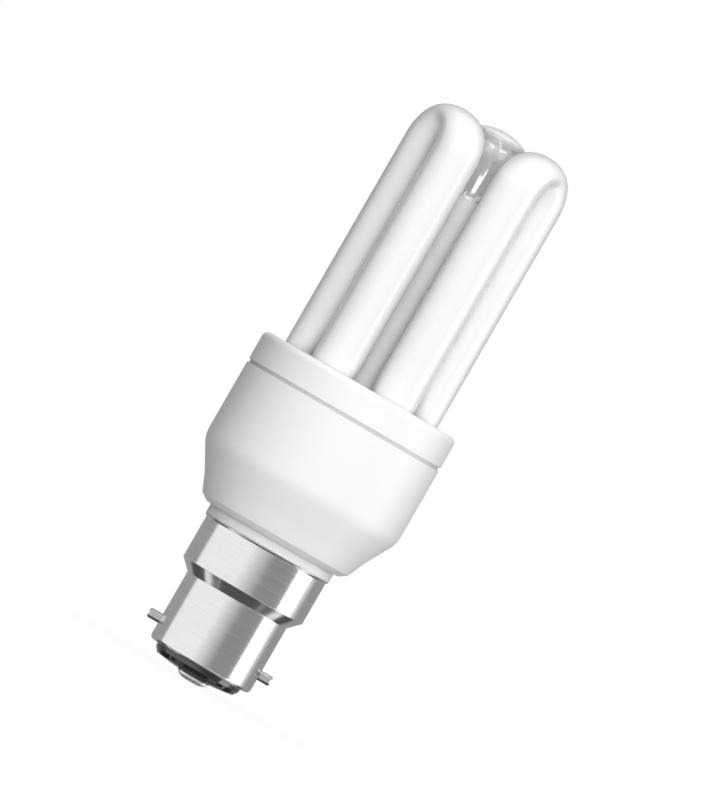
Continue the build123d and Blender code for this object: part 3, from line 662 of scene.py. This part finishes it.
def make_floor():
    """A grey floor that shows as white, and keeps a little of the lamp's shadow near it."""
    mesh = bpy.data.meshes.new("floor")
    corners = [(x * FLOOR_HALF, y * FLOOR_HALF, 0) for x, y in ((-1, -1), (1, -1), (1, 1), (-1, 1))]
    mesh.from_pydata(corners, [], [(0, 1, 2, 3)])
    floor = bpy.data.objects.new("floor", mesh)
    bpy.context.scene.collection.objects.link(floor)
    material, tree, shader = new_material("floor")
    shader.inputs["Base Color"].default_value = (*grey(FLOOR_GREY), 1)
    shader.inputs["Roughness"].default_value = 0.9
    glow = add_node(tree, "ShaderNodeEmission", strength=1.0)
    place = add_node(tree, "ShaderNodeTexCoord")
    distance = add_node(tree, "ShaderNodeVectorMath", operation="LENGTH")
    tree.links.new(place.outputs["Object"], distance.inputs[0])
    fade = add_node(tree, "ShaderNodeMapRange", interpolation_type="SMOOTHSTEP")
    fade.inputs["From Min"].default_value = FADE_START
    fade.inputs["From Max"].default_value = FADE_END
    fade.inputs["To Min"].default_value = FLOOR_WHITE
    fade.inputs["To Max"].default_value = 1.0
    tree.links.new(distance.outputs["Value"], fade.inputs["Value"])
    share = add_node(tree, "ShaderNodeMath", operation="MULTIPLY")
    tree.links.new(seen_directly(tree), share.inputs[0])
    tree.links.new(fade.outputs["Result"], share.inputs[1])
    mix = add_node(tree, "ShaderNodeMixShader")
    tree.links.new(share.outputs["Value"], mix.inputs["Fac"])
    tree.links.new(shader.outputs["BSDF"], mix.inputs[1])
    tree.links.new(glow.outputs["Emission"], mix.inputs[2])
    tree.links.new(mix.outputs["Shader"], tree.nodes["Material Output"].inputs["Surface"])
    floor.data.materials.append(material)
    floor.visible_glossy = False


def make_card(name, start, end, first, last, near=0.55, far=0.55, low=-0.6, high=0.9):
    """A curved card round the lamp, seen in reflections alone. Its ends are azimuths, in degrees, from
    the camera's side, positive to the right, and its level runs from first to last between them. One
    edge lies at a distance near from the axis and a height low, and the other at far and high."""
    steps = max(2, round(abs(end - start) / 5))
    points, faces, levels = [], [], []
    for i in range(steps + 1):
        turn = math.radians(start + (end - start) * i / steps)
        for radius, z in ((near, low), (far, high)):
            points.append((radius * math.sin(turn), -radius * math.cos(turn), z))
            levels.append(first + (last - first) * i / steps)
    for i in range(steps):
        faces.append((2 * i, 2 * i + 2, 2 * i + 3, 2 * i + 1))
    mesh = bpy.data.meshes.new(name)
    mesh.from_pydata(points, [], faces)
    mesh.attributes.new("level", "FLOAT", "POINT").data.foreach_set("value", levels)
    card = bpy.data.objects.new(name, mesh)
    bpy.context.scene.collection.objects.link(card)
    material, tree, shader = new_material(name)
    glow = add_node(tree, "ShaderNodeEmission")
    level = add_node(tree, "ShaderNodeAttribute", attribute_name="level")
    tree.links.new(level.outputs["Fac"], glow.inputs["Strength"])
    tree.links.new(glow.outputs["Emission"], tree.nodes["Material Output"].inputs["Surface"])
    material.cycles.emission_sampling = "NONE"
    card.data.materials.append(material)
    card.visible_camera = False
    card.visible_diffuse = False
    card.visible_shadow = False
    card.visible_transmission = False


def make_light(name, azimuth, elevation, distance, width, height, power):
    """A soft box that faces the lamp. Its azimuth is from the camera's side, positive to the right."""
    data = bpy.data.lights.new(name, "AREA")
    data.shape = "RECTANGLE"
    data.size, data.size_y = width, height
    data.energy = power
    light = bpy.data.objects.new(name, data)
    bpy.context.scene.collection.objects.link(light)
    turn, rise = math.radians(azimuth), math.radians(elevation)
    away = Vector((math.sin(turn) * math.cos(rise), -math.cos(turn) * math.cos(rise), math.sin(rise)))
    light.location = AIM + away * distance
    light.rotation_mode = "QUATERNION"
    light.rotation_quaternion = away.to_track_quat("Z", "Y")
    light.visible_camera = False
    light.visible_glossy = False


# Reflecting cards: name, first and last azimuth, the levels there, and for some the two edges' distances
# and heights
CARDS = (
    ("card_left_rear", -180, -104, 0.36, 0.36),
    ("card_fade", -22, 20, 1.0, 0.3),
    ("card_centre", 20, 67, 0.3, 0.3),
    ("card_stripe", 69, 100, 2.5, 2.5),
    ("card_stripe_end", 100, 118, 0.9, 0.33),
    ("card_right_rear", 118, 180, 0.33, 0.33),
    ("card_low", -75, 75, 3.0, 3.0, 0.3, 0.3, -0.35, -0.22),
    ("card_low_left", -131, -108, 0.95, 0.95, 0.055, 0.115, -0.12, -0.12),
    ("card_low_right", 112, 145, 0.95, 0.95, 0.075, 0.14, -0.12, -0.12),
    # card_under is a dark sheet below the lamp, seen only in reflections: painted shadow that stands in
    # for the floor in the lamp's shadow, reflected by the cone, pins and insulator.
    ("card_under", -180, 180, 0.08, 0.08, 0.0, 0.07, -0.15, -0.15),
    ("card_under_rear", 95, 265, 0.08, 0.08, 0.07, 0.3, -0.15, -0.15),
    ("card_under_front", -95, 95, 0.45, 0.45, 0.07, 0.2, -0.15, -0.15),
)

# Lights: name, azimuth and elevation, distance, width, height, power
LIGHTS = (
    ("soft_front", 20, 6, 0.7, 0.4, 0.4, 2.6),
    ("soft_upper", 0, 50, 0.7, 0.4, 0.4, 1.1),
    ("soft_right", 101, 2, 0.7, 0.4, 0.4, 1.42),
    ("soft_left", -7, 8, 0.7, 0.25, 0.25, 1.1),
    ("soft_top", 0, 80, 0.7, 0.4, 0.4, 1.8),
    ("soft_rear", 180, 20, 0.7, 0.4, 0.4, 2.5),
)
WORLD_LIGHT = 0.14

# Floor: its half width, its grey, how much of plain white it shows at the lamp's foot, and where that
# fades into all of it
FLOOR_HALF = 3.0
FLOOR_GREY = 0.45
FLOOR_WHITE = 0.96
FADE_START = 0.01
FADE_END = 0.045

# Camera: a long lens, level with the lamp and rolled, so that the lamp leans to the right
AIM = Vector((0.77, 0, 62.93)) * MM
CAMERA_AZIMUTH = -1.3
CAMERA_ROLL = 30.0
MM_PER_PIXEL = 0.1925
PHOTO_HEIGHT = 800
LENS = 600.0
SENSOR = 36.0


def make_camera():
    """Camera at the photograph's viewing angle."""
    data = bpy.data.cameras.new("camera")
    data.lens, data.sensor_width = LENS, SENSOR
    camera = bpy.data.objects.new("camera", data)
    bpy.context.scene.collection.objects.link(camera)
    bpy.context.scene.camera = camera
    turn, roll = math.radians(CAMERA_AZIMUTH), math.radians(CAMERA_ROLL)
    back = Vector((math.sin(turn), -math.cos(turn), 0))
    level = Vector((math.cos(turn), math.sin(turn), 0))
    up = Vector((0, 0, 1))
    right = level * math.cos(roll) + up * math.sin(roll)
    upright = up * math.cos(roll) - level * math.sin(roll)
    distance = LENS / SENSOR * MM_PER_PIXEL * MM * PHOTO_HEIGHT
    camera.matrix_world = Matrix.Translation(AIM + back * distance) @ Matrix(
        (right, upright, back)).transposed().to_4x4()
    data.clip_start, data.clip_end = 0.1, 20


discharge_tube()
light_guide()
lower_housing()
cap_shell()
cap_insulator()
contact("contact_front_solder", "contact_front", -1)
contact("contact_rear_solder", "contact_rear", 1)
contact_seat("contact_front_seat", -1)
contact_seat("contact_rear_seat", 1)
dress(make_materials())

make_world()
make_floor()
for card in CARDS:
    make_card(*card)
for light in LIGHTS:
    make_light(*light)
make_camera()

bpy.context.scene.view_settings.view_transform = "Standard"
